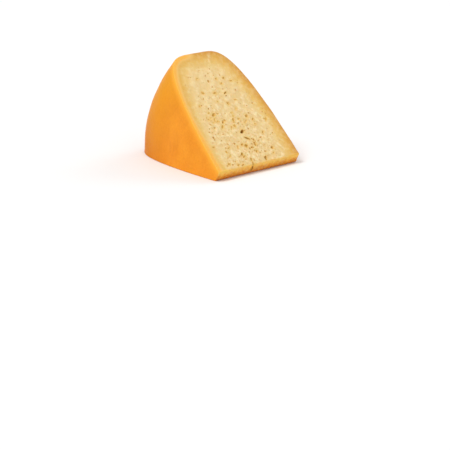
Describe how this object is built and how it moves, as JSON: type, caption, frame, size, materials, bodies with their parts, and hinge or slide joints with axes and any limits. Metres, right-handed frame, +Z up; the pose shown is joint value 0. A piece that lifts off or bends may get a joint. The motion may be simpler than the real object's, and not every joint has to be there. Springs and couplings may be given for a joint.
{
  "type": "wedge of gouda cheese",
  "caption": "Wedge cut from a rounded wheel of semi-hard cheese, lying on one cut face, with smooth rind outside and small eyes in the cut faces.",
  "frame": {"origin": "bottom centre of the bounding box, on the cut face that the wedge lies on", "axes": "+X points towards the tip of the wedge, Y runs through the thickness of the wheel and +Z is up; the wheel's own axis is parallel to Y"},
  "size_m": [0.178, 0.1458, 0.1343],
  "materials": {
    "cheese": "smooth, slightly waxy orange rind outside; pale cream-yellow paste on the cuts, with fine eyes"
  },
  "bodies": {
    "root": {"cheese_wedge": "cheese"}
  },
  "joints": []
}
